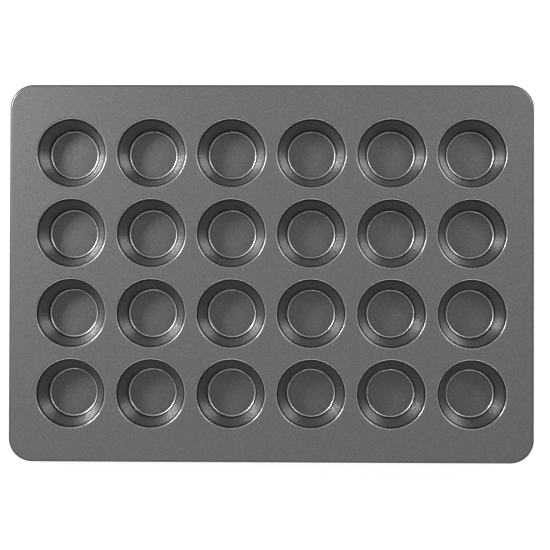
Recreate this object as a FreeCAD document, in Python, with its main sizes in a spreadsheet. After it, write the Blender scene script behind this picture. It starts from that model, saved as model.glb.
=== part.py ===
"""A 24-cup muffin tin: one sheet of coated steel, drawn into cups and curled at its edge round a steel wire.

Frame: millimetres, +Z up, +X along the long side, +Y to the back. The origin is under the middle of the tin,
on the surface that the cup floors stand on.
Nodes: the drawn sheet is divided at each cup's lip into a deck (with the curled rim) and its cups.
The wire inside the curl is a piece of its own.
"""

import FreeCAD, Part
import math
import os

import Sketcher

# Driving dimensions, in millimetres, and counts. Every size in the model is bound to these cells.
DIMENSIONS = [
    ("pan_length", 523.0, "outside length, along X"),
    ("pan_width", 376.5, "outside width, along Y"),
    ("corner_radius", 23.5, "outside corner radius in plan"),
    ("gauge", 0.6, "thickness of the coated sheet"),
    ("cup_pitch", 80.0, "distance between neighbouring cup axes"),
    ("columns", 6, "cups along X"),
    ("rows", 4, "cups along Y"),
    ("cup_depth", 32.0, "from the deck's top to the cup floor's top"),
    ("lip_radius", 35.9, "where the flat deck ends and the mouth bend begins"),
    ("mouth_bend", 2.5, "radius of the mouth bend's upper surface"),
    ("floor_radius", 22.6, "radius of the flat part of the cup floor"),
    ("floor_bend", 2.2, "radius of the bend between wall and floor, upper surface"),
    ("wire_radius", 1.6, "rim wire"),
    ("wire_clearance", 0.05, "between the wire and the curl around it"),
    ("wire_gap", 1.0, "between the wire's two ends, which meet in the middle of the front side"),
    ("curl_turn", 280.0, "degrees that the rim curl wraps round the wire"),
]

# Sizes that follow from the driving dimensions, as spreadsheet formulas.
DERIVED = [
    ("pan_height", "=cup_depth + gauge", "cup floors to deck top"),
    ("curl_inner", "=wire_radius + wire_clearance", "inner radius of the rim curl"),
    ("curl_outer", "=curl_inner + gauge", "outer radius of the rim curl"),
    ("curl_height", "=pan_height - curl_outer", "height of the wire's axis"),
    ("flat_length", "=pan_length - 2 * curl_outer", "deck between the tops of the curls, along X"),
    ("flat_width", "=pan_width - 2 * curl_outer", "deck between the tops of the curls, along Y"),
    ("flat_corner", "=corner_radius - curl_outer", "corner radius of the wire's axis"),
    ("first_cup_x", "=-(columns - 1) / 2 * cup_pitch", "leftmost column"),
    ("first_cup_y", "=-(rows - 1) / 2 * cup_pitch", "front row"),
]

ROW_LETTERS = "abcdefgh"

doc = FreeCAD.newDocument("muffin_tin")


# ---------------------------------------------------------------- spreadsheet


def make_sheet():
    """Puts every driving and derived dimension in a cell of its own, with an alias."""
    sheet = doc.addObject("Spreadsheet::Sheet", "dimensions")
    for row, (alias, value, note) in enumerate(DIMENSIONS + DERIVED, start=1):
        sheet.set(f"A{row}", str(value))
        sheet.setAlias(f"A{row}", alias)
        sheet.set(f"B{row}", note)
    doc.recompute()
    return sheet


sheet = make_sheet()


def size(alias):
    """The present value of a cell, for placing sketch geometry near where its constraints put it."""
    return float(sheet.get(alias))


def cell(alias):
    return f"dimensions.{alias}"


# ---------------------------------------------------------------- sketch helpers


def origin_plane(body, role):
    return next(feature for feature in body.Origin.OriginFeatures if feature.Role == role)


def new_sketch(body, name, role, height=None):
    """An empty sketch on one of the body's own origin planes, lifted to a cell's height if one is named."""
    sketch = body.newObject("Sketcher::SketchObject", name)
    sketch.AttachmentSupport = [(origin_plane(body, role), "")]
    sketch.MapMode = "FlatFace"
    if height:
        sketch.setExpression(".AttachmentOffset.Base.z", cell(height))
    return sketch


def bind(sketch, constraint, expression):
    """Adds a dimension to the sketch and binds it to an expression over the cells."""
    index = sketch.addConstraint(constraint)
    sketch.setExpression(f"Constraints[{index}]", expression)


START, END, CENTRE = 1, 2, 3
ORIGIN = (-1, 1)


def add_line(sketch, start, end):
    return sketch.addGeometry(Part.LineSegment(FreeCAD.Vector(*start, 0), FreeCAD.Vector(*end, 0)))


def add_arc(sketch, centre, radius, first_degrees, last_degrees):
    circle = Part.Circle(FreeCAD.Vector(*centre, 0), FreeCAD.Vector(0, 0, 1), radius)
    return sketch.addGeometry(
        Part.ArcOfCircle(circle, math.radians(first_degrees), math.radians(last_degrees))
    )


def tangent(sketch, first, first_end, second, second_end):
    sketch.addConstraint(Sketcher.Constraint("Tangent", first, first_end, second, second_end))


def join(sketch, first, first_end, second, second_end):
    sketch.addConstraint(Sketcher.Constraint("Coincident", first, first_end, second, second_end))


def fix_point(sketch, geometry, point, x_expression, y_expression):
    """Holds a point at the coordinates that two expressions give."""
    place = sketch.getPoint(geometry, point)
    for kind, value, expression in (
        ("DistanceX", place.x, x_expression),
        ("DistanceY", place.y, y_expression),
    ):
        bind(sketch, Sketcher.Constraint(kind, *ORIGIN, geometry, point, value), expression)


def draw_rim_path(sketch, gap=None):
    """A rounded rectangle, centred on the origin, that starts and ends in the middle of its front side.

    With a gap it is open there, by the width in that cell; without one it closes.
    """
    half_x = size("flat_length") / 2
    half_y = size("flat_width") / 2
    corner = size("flat_corner")
    half_gap = size(gap) / 2 if gap else 0.0
    inner_x = half_x - corner
    inner_y = half_y - corner
    front_right = add_line(sketch, (half_gap, -half_y), (inner_x, -half_y))
    arc_1 = add_arc(sketch, (inner_x, -inner_y), corner, -90, 0)
    right = add_line(sketch, (half_x, -inner_y), (half_x, inner_y))
    arc_2 = add_arc(sketch, (inner_x, inner_y), corner, 0, 90)
    back = add_line(sketch, (inner_x, half_y), (-inner_x, half_y))
    arc_3 = add_arc(sketch, (-inner_x, inner_y), corner, 90, 180)
    left = add_line(sketch, (-half_x, inner_y), (-half_x, -inner_y))
    arc_4 = add_arc(sketch, (-inner_x, -inner_y), corner, 180, 270)
    front_left = add_line(sketch, (-inner_x, -half_y), (-half_gap, -half_y))
    loop = [front_right, arc_1, right, arc_2, back, arc_3, left, arc_4, front_left]
    for this, following in zip(loop, loop[1:]):
        tangent(sketch, this, END, following, START)
    for flat, kind in ((front_right, "Horizontal"), (right, "Vertical"), (back, "Horizontal"),
                       (left, "Vertical"), (front_left, "Horizontal")):
        sketch.addConstraint(Sketcher.Constraint(kind, flat))
    if gap:
        half_gap_cell = f"{cell(gap)} / 2"
        bind(sketch, Sketcher.Constraint("DistanceX", *ORIGIN, front_right, START, half_gap), half_gap_cell)
        bind(sketch, Sketcher.Constraint("DistanceX", front_left, END, *ORIGIN, half_gap), half_gap_cell)
    else:
        join(sketch, front_left, END, front_right, START)
        sketch.addConstraint(Sketcher.Constraint("PointOnObject", front_right, START, -2))
    for arc, x_sign, y_sign in ((arc_1, 1, -1), (arc_3, -1, 1)):
        fix_point(
            sketch, arc, CENTRE,
            f"{x_sign} * ({cell('flat_length')} / 2 - {cell('flat_corner')})",
            f"{y_sign} * ({cell('flat_width')} / 2 - {cell('flat_corner')})",
        )
        bind(sketch, Sketcher.Constraint("Radius", arc, corner), cell("flat_corner"))
    return loop


# ---------------------------------------------------------------- deck


def draw_curl_section(sketch):
    """The curl's section on the YZ plane at the front side: a ring of sheet, open on its inner side."""
    centre = (-size("flat_width") / 2, size("curl_height"))
    inner, outer, turn = size("curl_inner"), size("curl_outer"), size("curl_turn")
    # The curl leaves the deck at its top, goes forward and down, and comes back up inside.
    first, last = 90.0, 90.0 + turn
    outer_arc = add_arc(sketch, centre, outer, first, last)
    inner_arc = add_arc(sketch, centre, inner, first, last)
    unit = (math.cos(math.radians(last)), math.sin(math.radians(last)))
    top = add_line(sketch, (centre[0], centre[1] + inner), (centre[0], centre[1] + outer))
    tail = add_line(
        sketch,
        (centre[0] + inner * unit[0], centre[1] + inner * unit[1]),
        (centre[0] + outer * unit[0], centre[1] + outer * unit[1]),
    )
    join(sketch, top, START, inner_arc, START)
    join(sketch, top, END, outer_arc, START)
    join(sketch, tail, START, inner_arc, END)
    join(sketch, tail, END, outer_arc, END)
    join(sketch, inner_arc, CENTRE, outer_arc, CENTRE)
    sketch.addConstraint(Sketcher.Constraint("Vertical", top))
    fix_point(sketch, outer_arc, CENTRE, f"-{cell('flat_width')} / 2", cell("curl_height"))
    bind(sketch, Sketcher.Constraint("Radius", inner_arc, inner), cell("curl_inner"))
    bind(sketch, Sketcher.Constraint("Radius", outer_arc, outer), cell("curl_outer"))
    sketch.addConstraint(Sketcher.Constraint("PointOnObject", outer_arc, CENTRE, top))
    sketch.addConstraint(Sketcher.Constraint("PointOnObject", outer_arc, CENTRE, tail))
    bind(
        sketch,
        Sketcher.Constraint("Angle", outer_arc, math.radians(turn)),
        f"{cell('curl_turn')} * 1 deg",
    )


def make_deck():
    """The flat sheet with its holes, and the curl that runs all round it."""
    body = doc.addObject("PartDesign::Body", "deck")
    body.Label = "deck"

    outline = new_sketch(body, "deck_outline", "XY_Plane", height="pan_height")
    draw_rim_path(outline)
    plate = body.newObject("PartDesign::Pad", "deck_plate")
    plate.Profile = outline
    plate.Reversed = True
    plate.setExpression("Length", cell("gauge"))
    doc.recompute()

    hole = new_sketch(body, "first_cup_hole", "XY_Plane", height="pan_height")
    place = FreeCAD.Vector(size("first_cup_x"), size("first_cup_y"), 0)
    circle = hole.addGeometry(Part.Circle(place, FreeCAD.Vector(0, 0, 1), size("lip_radius")))
    fix_point(hole, circle, CENTRE, cell("first_cup_x"), cell("first_cup_y"))
    bind(hole, Sketcher.Constraint("Radius", circle, size("lip_radius")), cell("lip_radius"))
    cut = body.newObject("PartDesign::Pocket", "cup_hole")
    cut.Profile = hole
    cut.Type = "ThroughAll"
    doc.recompute()

    holes = body.newObject("PartDesign::MultiTransform", "cup_holes")
    holes.Originals = [cut]
    steps = []
    for name, axis, count in (("along_x", "H_Axis", "columns"), ("along_y", "V_Axis", "rows")):
        pattern = body.newObject("PartDesign::LinearPattern", name)
        pattern.Direction = (hole, [axis])
        pattern.Mode = "Spacing"
        pattern.setExpression("Offset", cell("cup_pitch"))
        pattern.setExpression("Occurrences", cell(count))
        steps.append(pattern)
    holes.Transformations = steps
    body.Tip = holes
    doc.recompute()

    path = new_sketch(body, "rim_path", "XY_Plane", height="curl_height")
    loop = draw_rim_path(path)
    section = new_sketch(body, "curl_section", "YZ_Plane")
    draw_curl_section(section)
    doc.recompute()
    curl = body.newObject("PartDesign::AdditivePipe", "rim_curl")
    curl.Profile = section
    curl.Spine = (path, [f"Edge{edge + 1}" for edge in range(len(loop))])
    curl.Mode = "Frenet"
    curl.Transition = "Transformed"
    body.Tip = curl
    return body


# ---------------------------------------------------------------- cups


def draw_cup_section(sketch):
    """Half of a cup's section: the sheet from the lip, over the mouth bend, down the wall and in to the axis.

    Each bend's two faces share a centre, so the sheet keeps its gauge all the way, and the wall is the
    line that is tangent to both bends.
    """
    gauge, height = size("gauge"), size("pan_height")
    mouth, floor = size("mouth_bend"), size("floor_bend")
    mouth_centre = (size("lip_radius"), height - mouth)
    floor_centre = (size("floor_radius"), gauge + floor)
    across = mouth_centre[0] - floor_centre[0]
    up = mouth_centre[1] - floor_centre[1]
    lean = math.atan2(across, up) - math.asin((mouth + floor) / math.hypot(across, up))
    wall_degrees = 180 - math.degrees(lean)

    def on_circle(centre, radius, degrees):
        angle = math.radians(degrees)
        return (centre[0] + radius * math.cos(angle), centre[1] + radius * math.sin(angle))

    mouth_top = add_arc(sketch, mouth_centre, mouth, 90, wall_degrees)
    mouth_under = add_arc(sketch, mouth_centre, mouth - gauge, 90, wall_degrees)
    floor_top = add_arc(sketch, floor_centre, floor, 270, 180 + wall_degrees)
    floor_under = add_arc(sketch, floor_centre, floor + gauge, 270, 180 + wall_degrees)
    wall_top = add_line(
        sketch,
        on_circle(mouth_centre, mouth, wall_degrees),
        on_circle(floor_centre, floor, 180 + wall_degrees),
    )
    wall_under = add_line(
        sketch,
        on_circle(mouth_centre, mouth - gauge, wall_degrees),
        on_circle(floor_centre, floor + gauge, 180 + wall_degrees),
    )
    inside = add_line(sketch, (floor_centre[0], gauge), (0, gauge))
    axis = add_line(sketch, (0, gauge), (0, 0))
    underside = add_line(sketch, (0, 0), (floor_centre[0], 0))
    lip = add_line(sketch, (mouth_centre[0], height - gauge), (mouth_centre[0], height))

    tangent(sketch, mouth_top, END, wall_top, START)
    tangent(sketch, wall_top, END, floor_top, END)
    tangent(sketch, floor_top, START, inside, START)
    join(sketch, inside, END, axis, START)
    join(sketch, axis, END, underside, START)
    tangent(sketch, underside, END, floor_under, START)
    tangent(sketch, floor_under, END, wall_under, END)
    tangent(sketch, wall_under, START, mouth_under, END)
    join(sketch, mouth_under, START, lip, START)
    join(sketch, lip, END, mouth_top, START)
    join(sketch, mouth_top, CENTRE, mouth_under, CENTRE)
    join(sketch, floor_top, CENTRE, floor_under, CENTRE)
    sketch.addConstraint(Sketcher.Constraint("Vertical", lip))
    sketch.addConstraint(Sketcher.Constraint("PointOnObject", mouth_top, CENTRE, lip))
    sketch.addConstraint(Sketcher.Constraint("Horizontal", inside))
    join(sketch, axis, END, *ORIGIN)
    sketch.addConstraint(Sketcher.Constraint("Vertical", axis))
    sketch.addConstraint(Sketcher.Constraint("Horizontal", underside))
    fix_point(sketch, mouth_top, CENTRE, cell("lip_radius"), f"{cell('pan_height')} - {cell('mouth_bend')}")
    bind(sketch, Sketcher.Constraint("Radius", mouth_top, mouth), cell("mouth_bend"))
    bind(
        sketch,
        Sketcher.Constraint("Radius", mouth_under, mouth - gauge),
        f"{cell('mouth_bend')} - {cell('gauge')}",
    )
    bind(
        sketch,
        Sketcher.Constraint("DistanceX", *ORIGIN, floor_top, CENTRE, floor_centre[0]),
        cell("floor_radius"),
    )
    bind(sketch, Sketcher.Constraint("Radius", floor_top, floor), cell("floor_bend"))
    bind(
        sketch,
        Sketcher.Constraint("Radius", floor_under, floor + gauge),
        f"{cell('floor_bend')} + {cell('gauge')}",
    )


def make_cup(row, column):
    """One drawn cup. Rows are lettered from the back, and columns are numbered from the left."""
    name = f"cup_{ROW_LETTERS[row]}{column + 1}"
    body = doc.addObject("PartDesign::Body", name)
    body.Label = name
    section = new_sketch(body, f"{name}_section", "XZ_Plane")
    draw_cup_section(section)
    drawn = body.newObject("PartDesign::Revolution", f"{name}_drawn")
    drawn.Profile = section
    drawn.ReferenceAxis = (section, ["V_Axis"])
    drawn.Angle = 360
    body.setExpression(".Placement.Base.x", f"{cell('first_cup_x')} + {column} * {cell('cup_pitch')}")
    body.setExpression(".Placement.Base.y", f"-{cell('first_cup_y')} - {row} * {cell('cup_pitch')}")
    return body


# ---------------------------------------------------------------- rim wire


def make_rim_wire():
    """The round wire inside the curl, bent to the rim's outline, with its ends butted at the front."""
    body = doc.addObject("PartDesign::Body", "rim_wire")
    body.Label = "rim_wire"
    path = new_sketch(body, "wire_path", "XY_Plane", height="curl_height")
    loop = draw_rim_path(path, gap="wire_gap")
    section = new_sketch(body, "wire_section", "YZ_Plane")
    section.setExpression(".AttachmentOffset.Base.z", f"{cell('wire_gap')} / 2")
    centre = FreeCAD.Vector(-size("flat_width") / 2, size("curl_height"), 0)
    circle = section.addGeometry(Part.Circle(centre, FreeCAD.Vector(0, 0, 1), size("wire_radius")))
    fix_point(section, circle, CENTRE, f"-{cell('flat_width')} / 2", cell("curl_height"))
    bind(section, Sketcher.Constraint("Radius", circle, size("wire_radius")), cell("wire_radius"))
    doc.recompute()
    wire = body.newObject("PartDesign::AdditivePipe", "bent_wire")
    wire.Profile = section
    wire.Spine = (path, [f"Edge{edge + 1}" for edge in range(len(loop))])
    wire.Mode = "Frenet"
    wire.Transition = "Transformed"
    body.Tip = wire
    return body


# ---------------------------------------------------------------- build, check and write


def check(nodes):
    """Stops the build if an object failed to compute, or a node isn't one sound solid."""
    for item in doc.Objects:
        if "Invalid" in item.State or "Error" in item.State:
            raise RuntimeError(f"{item.Name} did not compute: {item.State}")
    for node in nodes:
        shape = node.Shape
        if shape.isNull() or not shape.isValid() or len(shape.Solids) != 1:
            raise RuntimeError(f"{node.Label} is not one valid solid")
        print(f"{node.Label}: {shape.Volume:.1f} mm3, box {shape.BoundBox}")


nodes = [make_deck()]
for row in range(int(size("rows"))):
    for column in range(int(size("columns"))):
        nodes.append(make_cup(row, column))
nodes.append(make_rim_wire())
doc.recompute()
check(nodes)

os.makedirs("parts", exist_ok=True)
for node in nodes:
    node.Shape.exportStep(f"parts/{node.Label}.step")
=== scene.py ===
"""Looks for the 24-cup muffin tin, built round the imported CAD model.

Everything is in metres, in the same frame as the CAD.
"""

import math

import bpy
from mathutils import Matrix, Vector


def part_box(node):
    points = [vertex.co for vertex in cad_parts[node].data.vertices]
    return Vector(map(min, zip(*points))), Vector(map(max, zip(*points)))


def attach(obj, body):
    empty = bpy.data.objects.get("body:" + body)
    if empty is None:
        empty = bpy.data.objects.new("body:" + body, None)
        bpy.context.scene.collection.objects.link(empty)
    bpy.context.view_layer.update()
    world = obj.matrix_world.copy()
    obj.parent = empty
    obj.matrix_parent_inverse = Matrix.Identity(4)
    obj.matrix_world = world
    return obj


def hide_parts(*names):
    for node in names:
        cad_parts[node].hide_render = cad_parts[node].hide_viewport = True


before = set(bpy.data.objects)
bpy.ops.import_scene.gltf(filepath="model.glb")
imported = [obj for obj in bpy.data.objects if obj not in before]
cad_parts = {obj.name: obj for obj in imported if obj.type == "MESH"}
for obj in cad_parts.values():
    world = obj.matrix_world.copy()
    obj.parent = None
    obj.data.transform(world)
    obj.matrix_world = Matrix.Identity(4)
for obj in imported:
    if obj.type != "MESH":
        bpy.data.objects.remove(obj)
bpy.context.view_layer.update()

# Sizes of the tin that its boxes don't give, in metres.
GAUGE = 0.0006
MOUTH_BEND = 0.0025
FLOOR_RADIUS = 0.0226
FLOOR_BEND = 0.0022
CORNER_RADIUS = 0.0235
WIRE_RADIUS = 0.0016
WIRE_GAP = 0.001
CURL_TURN = math.radians(280)

# Painted light: each point's level lightens or darkens the coating to stand in for highlights and shade. 0
# is full painted shade,
# PLAIN is the coating as sprayed, 1 is a full painted highlight. There is a painted highlight on the crowns
# of the floor bends, a little painted shade on those of the mouth bends and nearly full painted shade on
# the rim. The steep part of every bend has painted shade, and so does the wall next to it.
PLAIN = 0.5
MOUTH_CROWN_SHADE = 0.42
FLOOR_CROWN_HIGHLIGHT = 1.0
RIM_PAINTED_SHADE = 0.03
CROWN_TILT = math.radians(26)
CROWN_REACH = math.radians(22)
PAINTED_SHADE_TILT = math.radians(43)

# Points along a cup's section as (share, painted light level): down the wall, and from the floor's edge to
# its middle. The wall's ends and the floor's edge get painted shade.
WALL_POINTS = (
    (0.05, 0.0), (0.1, 0.28), (0.2, 0.5), (0.4, 0.5), (0.6, 0.5), (0.8, 0.5), (0.88, 0.25), (0.92, 0.0),
    (0.96, 0.0),
)
FLOOR_POINTS = (
    (0.98, 0.38), (0.94, 0.4), (0.9, 0.5), (0.8, 0.5), (0.6, 0.515), (0.4, 0.53), (0.2, 0.53), (0.0, 0.53),
)

# How finely the surfaces are divided.
CUP_SEGMENTS = 96
BEND_STEPS = 14
CORNER_STEPS = 40
CURL_STEPS = 36
RIM_FADE_STEPS = 4
WIRE_SIDES = 28
MERGE_DIGITS = 7  # points that agree to this many decimals are one point
SAME_PLACE = 1e-6

# The surfaces' grain, in noise features per metre, and the marks down the walls, per radian round the cup.
FLAKE_SCALE = 2200
MOTTLE_SCALE = 700
GRAIN_SCALE = 1300
MARK_SCALE = 24
WIRE_GRAIN_SCALE = 420
GRAIN_HEIGHT = 0.00004
MARK_HEIGHT = 0.0004

# The studio. Angles in degrees, azimuth from +X towards +Y; distances and sizes in metres; power in watts.
LIGHTS = (
    # name, azimuth, elevation, distance, width, height, power
    ("key_light", 153, 43, 1.7, 0.5, 0.42, 22),
    ("fill_light", 36, 46, 1.7, 0.34, 0.3, 2.2),
    ("wide_fill_light", 36, 46, 1.75, 0.68, 0.6, 4.6),
    ("widest_fill_light", 36, 46, 1.8, 1.0, 0.85, 2.5),
    ("front_light", 270, 28, 1.7, 1.6, 0.42, 7),
)
DOME_STRENGTH = 4.8
DOME_LEVELS = (
    # sine of the elevation, grey level
    (0.0, 0.21), (0.015, 0.21),  # a pale horizon, where the floor ends
    (0.03, 0.03), (0.36, 0.05),
    (0.4, 1.0), (0.5, 1.0),  # the band that draws the thin lines on the bends
    (0.54, 0.04), (0.9, 0.01),
    (0.985, 0.062), (1.0, 0.088),  # a soft patch overhead
)
FLOOR_REACH = 60.0
FLOOR_GLOW = 0.8

# The camera looks nearly straight down, from a little to the right and front of the tin's middle.
SENSOR_WIDTH_MM = 36
LENS_MM = 127.84
CAMERA_PLACE = (0.0472, -0.0384, 1.9771)
CAMERA_TURN_DEGREES = (1.0874, 1.2688, 0.1744)


# ---------------------------------------------------------------- measures taken from the frame


def cup_nodes():
    return sorted(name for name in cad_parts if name.startswith("cup_"))


def cup_axis(name):
    low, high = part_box(name)
    return (low.x + high.x) / 2, (low.y + high.y) / 2


CUPS = {name: cup_axis(name) for name in cup_nodes()}
FIRST_LOW, FIRST_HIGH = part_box(cup_nodes()[0])
LIP_RADIUS = (FIRST_HIGH.x - FIRST_LOW.x) / 2
DECK_LOW, DECK_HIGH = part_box("deck")
TOP = DECK_HIGH.z
CURL_OUTER = (DECK_HIGH.z - DECK_LOW.z) / 2
AXIS_HEIGHT = TOP - CURL_OUTER
FLAT_X = DECK_HIGH.x - CURL_OUTER
FLAT_Y = DECK_HIGH.y - CURL_OUTER
COLUMNS_X = sorted({round(x, 4) for x, y in CUPS.values()})
ROWS_Y = sorted({round(y, 4) for x, y in CUPS.values()})
HALF_PITCH = (COLUMNS_X[1] - COLUMNS_X[0]) / 2
GRID_X = COLUMNS_X[-1] + HALF_PITCH
GRID_Y = ROWS_Y[-1] + HALF_PITCH
ARC_X = DECK_HIGH.x - CORNER_RADIUS
ARC_Y = DECK_HIGH.y - CORNER_RADIUS


# ---------------------------------------------------------------- the pressed sheet


UP = (0, 0, 1)


def wound(ring, points, way):
    """The ring of corners, turned round if need be so that its face looks along the way."""
    area = Vector((0, 0, 0))
    for n, corner in enumerate(ring):
        area += points[ring[n - 1]].cross(points[corner])
    return ring if area.dot(way) > 0 else ring[::-1]


class Skin:
    """One side of a sheet: its points, and the faces between them. Points at one place are one point.

    Each point has a normal, a level of painted highlight and shade, and a turn: its direction from its
    cup's axis, or zero off the cups.
    """

    def __init__(self):
        self.points, self.normals, self.faces, self.known = [], [], [], {}
        self.burnish, self.turns = [], []

    def point(self, place, normal, burnish=PLAIN, turn=(0, 0, 0)):
        key = tuple(round(value * 10**MERGE_DIGITS) for value in place)
        if key not in self.known:
            self.known[key] = len(self.points)
            self.points.append(Vector(place))
            self.normals.append(Vector(normal).normalized())
            self.burnish.append(burnish)
            self.turns.append(turn)
        return self.known[key]

    def face(self, *corners):
        """A face whose front is on the side that its points' normals are on."""
        ring = [corner for n, corner in enumerate(corners) if corner != corners[n - 1]]
        if len(ring) < 3:
            return
        facing = sum((self.normals[corner] for corner in ring), Vector((0, 0, 0)))
        self.faces.append(wound(ring, self.points, facing))


def bend_burnish(tilt, crown):
    """The painted light on a bend where the surface leans this far from level. It is crown at its crown,
    and painted shade where the bend is steep.
    """
    if tilt > PAINTED_SHADE_TILT:
        return 0.0
    nearness = max(0.0, 1 - abs(tilt - CROWN_TILT) / CROWN_REACH)
    return PLAIN + (crown - PLAIN) * nearness


def cup_section():
    """A cup's upper side from the lip in, as (radius, height, normal outward, normal upward, painted light
    level).
    """
    mouth = (LIP_RADIUS, TOP - MOUTH_BEND)
    floor = (FLOOR_RADIUS, GAUGE + FLOOR_BEND)
    across, up = mouth[0] - floor[0], mouth[1] - floor[1]
    lean = math.atan2(across, up) - math.asin((MOUTH_BEND + FLOOR_BEND) / math.hypot(across, up))
    section = []
    for step in range(BEND_STEPS + 1):
        angle = math.pi / 2 + (math.pi / 2 - lean) * step / BEND_STEPS
        out, rise = math.cos(angle), math.sin(angle)
        painted_level = bend_burnish(angle - math.pi / 2, MOUTH_CROWN_SHADE)
        radius, height = mouth[0] + MOUTH_BEND * out, mouth[1] + MOUTH_BEND * rise
        section.append((radius, height, out, rise, painted_level))
    bend = []
    for step in range(BEND_STEPS + 1):
        angle = -lean - (math.pi / 2 - lean) * step / BEND_STEPS
        out, rise = math.cos(angle), math.sin(angle)
        painted_level = bend_burnish(math.pi / 2 + angle, FLOOR_CROWN_HIGHLIGHT)
        radius, height = floor[0] + FLOOR_BEND * out, floor[1] + FLOOR_BEND * rise
        bend.append((radius, height, -out, -rise, painted_level))
    start, end = section[-1], bend[0]
    for share, painted_level in WALL_POINTS:
        section.append(tuple(a + (b - a) * share for a, b in zip(start[:4], end[:4])) + (painted_level,))
    section += bend
    for share, painted_level in FLOOR_POINTS:
        section.append((FLOOR_RADIUS * share, GAUGE, 0, 1, painted_level))
    return section


def add_cup(skin, axis_x, axis_y, offset):
    """A cup, and the square of deck round its mouth. The offset turns the cup's drawing marks."""
    section = cup_section()
    rings = []
    for segment in range(CUP_SEGMENTS):
        angle = 2 * math.pi * segment / CUP_SEGMENTS
        along, side = math.cos(angle), math.sin(angle)
        reach = HALF_PITCH / max(abs(along), abs(side))
        ring = []
        for share in (1.0, 0.5):
            radius = LIP_RADIUS + (reach - LIP_RADIUS) * share
            place = (axis_x + radius * along, axis_y + radius * side, TOP)
            ring.append(skin.point(place, UP))
        # Each point of the section carries its level of painted highlight and shade.
        for radius, height, out, rise, painted_level in section:
            place = (axis_x + radius * along, axis_y + radius * side, height)
            turn = (math.cos(angle + offset), math.sin(angle + offset), 0)
            ring.append(skin.point(place, (out * along, out * side, rise), painted_level, turn))
        rings.append(ring)
    for ring, following in zip(rings, rings[1:] + rings[:1]):
        for n in range(len(ring) - 1):
            skin.face(ring[n], ring[n + 1], following[n + 1], following[n])


def grid_side_points(centres):
    """Where the cups' squares have points along one side of the grid, in order."""
    eighth = CUP_SEGMENTS // 8
    places = set()
    for centre in centres:
        for n in range(-eighth, eighth + 1):
            place = centre + HALF_PITCH * math.tan(2 * math.pi * n / CUP_SEGMENTS)
            places.add(round(place, MERGE_DIGITS))
    return sorted(places)


def rim_line():
    """The wire's axis in plan, anticlockwise from the right side's front end.

    Each point is (x, y, outward x, outward y).
    """
    line = []
    upright = grid_side_points(ROWS_Y)
    level = [x for x in grid_side_points(COLUMNS_X) if abs(x) <= ARC_X]

    def add_arc(centre_x, centre_y, first):
        radius = CORNER_RADIUS - CURL_OUTER
        for step in range(CORNER_STEPS + 1):
            angle = math.radians(first) + math.pi / 2 * step / CORNER_STEPS
            out_x, out_y = math.cos(angle), math.sin(angle)
            line.append((centre_x + radius * out_x, centre_y + radius * out_y, out_x, out_y))

    line += [(FLAT_X, y, 1, 0) for y in upright]
    add_arc(ARC_X, ARC_Y, 0)
    line += [(x, FLAT_Y, 0, 1) for x in reversed(level)]
    add_arc(-ARC_X, ARC_Y, 90)
    line += [(-FLAT_X, y, -1, 0) for y in reversed(upright)]
    add_arc(-ARC_X, -ARC_Y, 180)
    line += [(x, -FLAT_Y, 0, -1) for x in level]
    add_arc(ARC_X, -ARC_Y, 270)
    return line


def add_border(skin):
    """The flat border between the cups' squares and the rim, with a single face in each corner."""

    def flat_face(*outline):
        skin.face(*(skin.point((x, y, TOP), UP) for x, y in outline))

    upright = grid_side_points(ROWS_Y)
    level = grid_side_points(COLUMNS_X)
    straight = [x for x in level if abs(x) <= ARC_X]
    for sign in (1, -1):
        near, far = sign * GRID_X, sign * FLAT_X
        for this, following in zip(upright, upright[1:]):
            flat_face((near, this), (far, this), (far, following), (near, following))
        near, far = sign * GRID_Y, sign * FLAT_Y
        for this, following in zip(straight, straight[1:]):
            flat_face((this, near), (following, near), (following, far), (this, far))
    radius = CORNER_RADIUS - CURL_OUTER
    corner = [(GRID_X, GRID_Y), (FLAT_X, GRID_Y)]
    for step in range(CORNER_STEPS + 1):
        angle = math.pi / 2 * step / CORNER_STEPS
        corner.append((ARC_X + radius * math.cos(angle), ARC_Y + radius * math.sin(angle)))
    corner += [(straight[-1], FLAT_Y)]
    corner += [(x, GRID_Y) for x in level if straight[-1] <= x < GRID_X - SAME_PLACE]
    for sign_x in (1, -1):
        for sign_y in (1, -1):
            flat_face(*((sign_x * x, sign_y * y) for x, y in corner))


def add_curl(skin):
    """The rolled edge, from the deck's edge out, down and back in.

    Returns the points of its free end, in order.
    """
    rows = []
    for x, y, out_x, out_y in rim_line():
        row = []
        for step in range(CURL_STEPS + 1):
            angle = math.pi / 2 + CURL_TURN * step / CURL_STEPS
            out, rise = -math.cos(angle), math.sin(angle)
            normal = (out * out_x, out * out_y, rise)
            place = (
                x + CURL_OUTER * normal[0],
                y + CURL_OUTER * normal[1],
                AXIS_HEIGHT + CURL_OUTER * normal[2],
            )
            # Painted shade on the rim: the level falls from plain to nearly full shade over the first steps
            # of the curl, and stays there.
            painted_level = max(RIM_PAINTED_SHADE, PLAIN + (RIM_PAINTED_SHADE - PLAIN) * step / RIM_FADE_STEPS)
            row.append(skin.point(place, normal, painted_level))
        rows.append(row)
    for row, following in zip(rows, rows[1:] + rows[:1]):
        for n in range(CURL_STEPS):
            skin.face(row[n], row[n + 1], following[n + 1], following[n])
    ends = [row[-1] for row in rows]
    return [end for n, end in enumerate(ends) if end != ends[n - 1]]


def mesh_object(name, points, faces, corner_normals):
    """A smooth mesh object with the given normal at each corner of each face."""
    mesh = bpy.data.meshes.new(name)
    mesh.from_pydata(points, [], faces)
    mesh.validate()
    mesh.shade_smooth()
    mesh.normals_split_custom_set(corner_normals)
    made = bpy.data.objects.new(name, mesh)
    bpy.context.scene.collection.objects.link(made)
    return made


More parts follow.
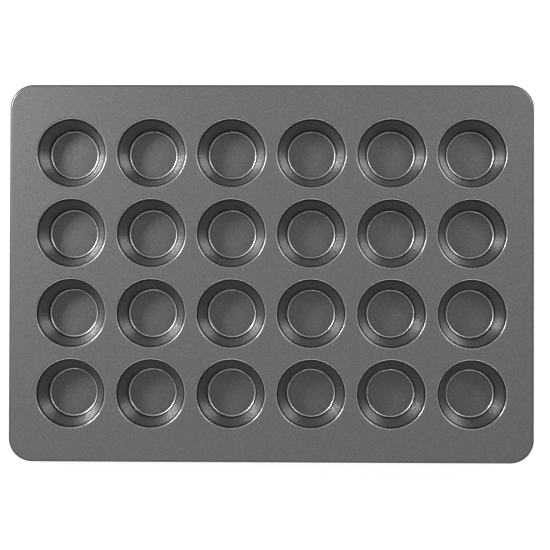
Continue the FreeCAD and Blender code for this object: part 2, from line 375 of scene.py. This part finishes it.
def make_sheet():
    """The whole pressing as one mesh: an upper skin, a lower skin a gauge below, and the cut edge. It isn't
    watertight, because the border and the cups' squares share no points where they meet.

    The painted highlight and shade level and the turn are stored on its points, for the coating. The lower
    skin has no painted light: its level is plain.
    """
    skin = Skin()
    for number, (axis_x, axis_y) in enumerate(CUPS.values()):
        add_cup(skin, axis_x, axis_y, number)
    add_border(skin)
    end = add_curl(skin)
    count = len(skin.points)
    points = skin.points + [p - n * GAUGE for p, n in zip(skin.points, skin.normals)]
    faces = list(skin.faces)
    corner_normals = [skin.normals[corner] for face in skin.faces for corner in face]
    for face in skin.faces:
        under = [corner + count for corner in reversed(face)]
        faces.append(under)
        corner_normals += [-skin.normals[corner - count] for corner in under]
    cut = math.pi / 2 + CURL_TURN
    for n, corner in enumerate(end):
        before = end[n - 1]
        ring = [before, corner, corner + count, before + count]
        out = skin.normals[corner] + skin.normals[before]
        flat = Vector((out.x, out.y, 0)).normalized() * -math.copysign(1, math.cos(cut))
        along = Vector((flat.x * math.sin(cut), flat.y * math.sin(cut), math.cos(cut)))
        faces.append(wound(ring, points, along))
        corner_normals += [along] * 4
    sheet = mesh_object("pressed_sheet", points, faces, corner_normals)
    burnish = sheet.data.attributes.new("burnish", "FLOAT", "POINT")
    burnish.data.foreach_set("value", skin.burnish + [PLAIN] * count)
    turn = sheet.data.attributes.new("turn", "FLOAT_VECTOR", "POINT")
    turn.data.foreach_set("vector", [value for vector in skin.turns * 2 for value in vector])
    return sheet


# ---------------------------------------------------------------- the rim wire


def make_wire():
    """The round wire inside the curl, with its cut ends a small gap apart in the middle of the front."""
    line = rim_line()
    front = next(n for n, (x, y, out_x, out_y) in enumerate(line) if out_y == -1 and x > WIRE_GAP)
    line = line[front:] + line[:front]
    gap = WIRE_GAP / 2
    line = [(gap, -FLAT_Y, 0, -1)] + line
    line = [p for n, p in enumerate(line) if p[:2] != line[n - 1][:2]]
    line = [p for p in line if not (p[3] == -1 and -gap < p[0] < gap)] + [(-gap, -FLAT_Y, 0, -1)]
    points, normals, faces = [], [], []
    for x, y, out_x, out_y in line:
        for side in range(WIRE_SIDES):
            angle = 2 * math.pi * side / WIRE_SIDES
            normal = Vector((math.cos(angle) * out_x, math.cos(angle) * out_y, math.sin(angle)))
            points.append(Vector((x, y, AXIS_HEIGHT)) + normal * WIRE_RADIUS)
            normals.append(normal)
    corner_normals = []
    for n in range(len(line) - 1):
        for side in range(WIRE_SIDES):
            following = (side + 1) % WIRE_SIDES
            base, ahead = n * WIRE_SIDES, (n + 1) * WIRE_SIDES
            face = [base + side, base + following, ahead + following, ahead + side]
            faces.append(face[::-1])
            corner_normals += [normals[corner] for corner in face[::-1]]
    for start, way in ((0, Vector((-1, 0, 0))), ((len(line) - 1) * WIRE_SIDES, Vector((1, 0, 0)))):
        faces.append(wound(list(range(start, start + WIRE_SIDES)), points, way))
        corner_normals += [way] * WIRE_SIDES
    return mesh_object("steel_rim_wire", points, faces, corner_normals)


# ---------------------------------------------------------------- materials


def grey(level):
    return (level, level, level)


def add_node(tree, kind, inputs):
    """A new shader node. An input is set if it is given a value, and linked if it is given an output."""
    node = tree.nodes.new("ShaderNode" + kind)
    for name, value in inputs.items():
        if isinstance(value, bpy.types.NodeSocket):
            tree.links.new(value, node.inputs[name])
        else:
            node.inputs[name].default_value = value
    return node


def add_ramp(tree, factor, stops):
    """The colour output of a ramp through the stops, which are (position, colour)."""
    ramp = add_node(tree, "ValToRGB", {"Fac": factor})
    points = ramp.color_ramp.elements
    while len(points) < len(stops):
        points.new(0.5)
    for point, (position, colour) in zip(points, stops):
        point.position = position
        point.color = (*colour, 1)
    return ramp.outputs["Color"]


def add_attribute(tree, name):
    attribute = tree.nodes.new("ShaderNodeAttribute")
    attribute.attribute_name = name
    return attribute


def add_noise(tree, scale, detail, vector):
    noise = add_node(tree, "TexNoise", {"Scale": scale, "Detail": detail, "Vector": vector})
    return noise.outputs["Fac"]


def add_range(tree, value, top, low, high):
    """The value, which runs from 0 to top, spread over low to high."""
    spread = add_node(tree, "MapRange", {"Value": value, "From Max": top, "To Min": low, "To Max": high})
    return spread.outputs["Result"]


def add_bump(tree, strength, distance, height, normal=None):
    """The normal of a bump, on top of another bump's normal if there is one."""
    bump = add_node(tree, "Bump", {"Strength": strength, "Distance": distance, "Height": height})
    if normal:
        tree.links.new(normal, bump.inputs["Normal"])
    return bump.outputs["Normal"]


def add_place(tree, kind):
    """A texture coordinate of the given kind."""
    return tree.nodes.new("ShaderNodeTexCoord").outputs[kind]


def new_material(name):
    """A new material, its node tree and its shader."""
    material = bpy.data.materials.new(name)
    material.use_nodes = True
    return material, material.node_tree, material.node_tree.nodes["Principled BSDF"]


def coated_steel():
    """Dark non-stick coating: metallic flakes, a mottle, a pebbled glossy top, marks down the walls, and
    painted highlights and shade along the bends and the rim.
    """
    material, tree, shader = new_material("non_stick_coating")
    place = add_place(tree, "Object")

    # Three scales of grain.
    flakes = add_node(tree, "TexVoronoi", {"Scale": FLAKE_SCALE, "Vector": place})
    flake_light = add_node(tree, "SeparateColor", {"Color": flakes.outputs["Color"]})
    mottle = add_noise(tree, MOTTLE_SCALE, 3, place)
    grain = add_noise(tree, GRAIN_SCALE, 2, place)

    # The colour: flakes and mottle together, times the painted highlights and shade.
    spread = tree.nodes.new("ShaderNodeMath")
    spread.operation = "MULTIPLY_ADD"
    tree.links.new(flake_light.outputs["Red"], spread.inputs[0])
    spread.inputs[1].default_value = 0.5
    tree.links.new(mottle, spread.inputs[2])
    tone = add_ramp(tree, spread.outputs["Value"], ((0.3, (0.3, 0.3, 0.303)), (1.0, (0.6, 0.6, 0.605))))
    burnish = add_attribute(tree, "burnish").outputs["Fac"]
    # Painted light: this ramp darkens the colour for painted shade and lightens it for painted highlights.
    painted_light_gain = add_ramp(tree, burnish, ((0.0, grey(0.06)), (PLAIN, grey(0.333)), (1.0, grey(1.0))))
    shade = tree.nodes.new("ShaderNodeMix")
    shade.data_type = "RGBA"
    shade.blend_type = "MULTIPLY"
    shade.inputs["Factor"].default_value = 1.0
    tree.links.new(tone, shade.inputs["A"])
    tree.links.new(painted_light_gain, shade.inputs["B"])
    tree.links.new(shade.outputs["Result"], shader.inputs["Base Color"])

    # The glossy top layer thins out where shade is painted, darkening it further, and the base is rougher
    # in places.
    tree.links.new(add_range(tree, burnish, PLAIN, 0.05, 1.0), shader.inputs["Coat Weight"])
    tree.links.new(add_range(tree, grain, 1.0, 0.37, 0.49), shader.inputs["Roughness"])

    # Drawing marks run down the walls. They fade out as the surface turns level.
    turn = add_attribute(tree, "turn").outputs["Vector"]
    marks = add_noise(tree, MARK_SCALE, 3, turn)
    normal = tree.nodes.new("ShaderNodeNewGeometry").outputs["Normal"]
    lean = add_node(tree, "SeparateXYZ", {"Vector": normal})
    steep = tree.nodes.new("ShaderNodeMath")
    steep.operation = "SUBTRACT"
    steep.use_clamp = True
    steep.inputs[0].default_value = 1.0
    tree.links.new(lean.outputs["Z"], steep.inputs[1])
    drawn = add_bump(tree, steep.outputs["Value"], MARK_HEIGHT, marks)

    # The grain stands out a little on the base, and less on the top layer.
    tree.links.new(add_bump(tree, 0.25, GRAIN_HEIGHT, grain, drawn), shader.inputs["Normal"])
    tree.links.new(add_bump(tree, 0.1, GRAIN_HEIGHT, mottle, drawn), shader.inputs["Coat Normal"])

    shader.inputs["Metallic"].default_value = 0.85
    shader.inputs["Coat Roughness"].default_value = 0.09
    shader.inputs["Coat IOR"].default_value = 1.8
    return material


def bright_steel():
    """Drawn steel wire: bright, with a fine grain that changes its colour and roughness."""
    material, tree, shader = new_material("drawn_steel_wire")
    place = add_place(tree, "Object")
    grain = add_noise(tree, WIRE_GRAIN_SCALE, 5, place)
    tone = add_ramp(tree, grain, ((0.0, (0.34, 0.34, 0.35)), (1.0, (0.62, 0.62, 0.63))))
    tree.links.new(tone, shader.inputs["Base Color"])
    tree.links.new(add_range(tree, grain, 1.0, 0.28, 0.5), shader.inputs["Roughness"])
    shader.inputs["Metallic"].default_value = 1.0
    return material


def pale_floor():
    """A matt floor that gives off some light, so that it stays white under the tin."""
    material, tree, shader = new_material("pale_floor")
    shader.inputs["Base Color"].default_value = (*grey(0.3), 1)
    shader.inputs["Roughness"].default_value = 0.9
    shader.inputs["Specular IOR Level"].default_value = 0.1
    shader.inputs["Emission Color"].default_value = (*grey(1.0), 1)
    shader.inputs["Emission Strength"].default_value = FLOOR_GLOW
    return material


# ---------------------------------------------------------------- stage, lights and camera


def make_floor():
    """The floor under the tin. Glossy reflections don't see it: they see the dome's pale lower side."""
    reach = FLOOR_REACH
    mesh = bpy.data.meshes.new("floor")
    corners = [(-reach, -reach, 0), (reach, -reach, 0), (reach, reach, 0), (-reach, reach, 0)]
    mesh.from_pydata(corners, [], [(0, 1, 2, 3)])
    floor = bpy.data.objects.new("floor", mesh)
    bpy.context.scene.collection.objects.link(floor)
    floor.data.materials.append(pale_floor())
    floor.visible_glossy = False


def soft_light(name, azimuth, elevation, distance, width, height, power):
    """A rectangular studio light that faces the tin."""
    light = bpy.data.lights.new(name, "AREA")
    light.shape = "RECTANGLE"
    light.size = width
    light.size_y = height
    light.energy = power
    lamp = bpy.data.objects.new(name, light)
    around, up = math.radians(azimuth), math.radians(elevation)
    way = Vector((math.cos(around) * math.cos(up), math.sin(around) * math.cos(up), math.sin(up)))
    lamp.location = way * distance
    lamp.rotation_euler = way.to_track_quat("Z", "Y").to_euler()
    bpy.context.scene.collection.objects.link(lamp)


def make_dome():
    """A dim studio dome, whose light depends only on the elevation."""
    world = bpy.data.worlds.new("studio")
    world.use_nodes = True
    tree = world.node_tree
    parts = add_node(tree, "SeparateXYZ", {"Vector": add_place(tree, "Generated")})
    level = add_ramp(tree, parts.outputs["Z"], [(height, grey(light)) for height, light in DOME_LEVELS])
    background = tree.nodes["Background"]
    tree.links.new(level, background.inputs["Color"])
    background.inputs["Strength"].default_value = DOME_STRENGTH
    bpy.context.scene.world = world


def make_camera():
    lens = bpy.data.cameras.new("camera")
    lens.sensor_width = SENSOR_WIDTH_MM
    lens.lens = LENS_MM
    camera = bpy.data.objects.new("camera", lens)
    camera.location = CAMERA_PLACE
    camera.rotation_euler = [math.radians(angle) for angle in CAMERA_TURN_DEGREES]
    bpy.context.scene.collection.objects.link(camera)
    bpy.context.scene.camera = camera


# ---------------------------------------------------------------- the scene


sheet = make_sheet()
sheet.data.materials.append(coated_steel())
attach(sheet, "root")
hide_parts("deck", *CUPS)

wire = make_wire()
wire.data.materials.append(bright_steel())
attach(wire, "root")
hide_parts("rim_wire")

make_floor()
make_dome()
for settings in LIGHTS:
    soft_light(*settings)
make_camera()
bpy.context.scene.view_settings.view_transform = "Standard"
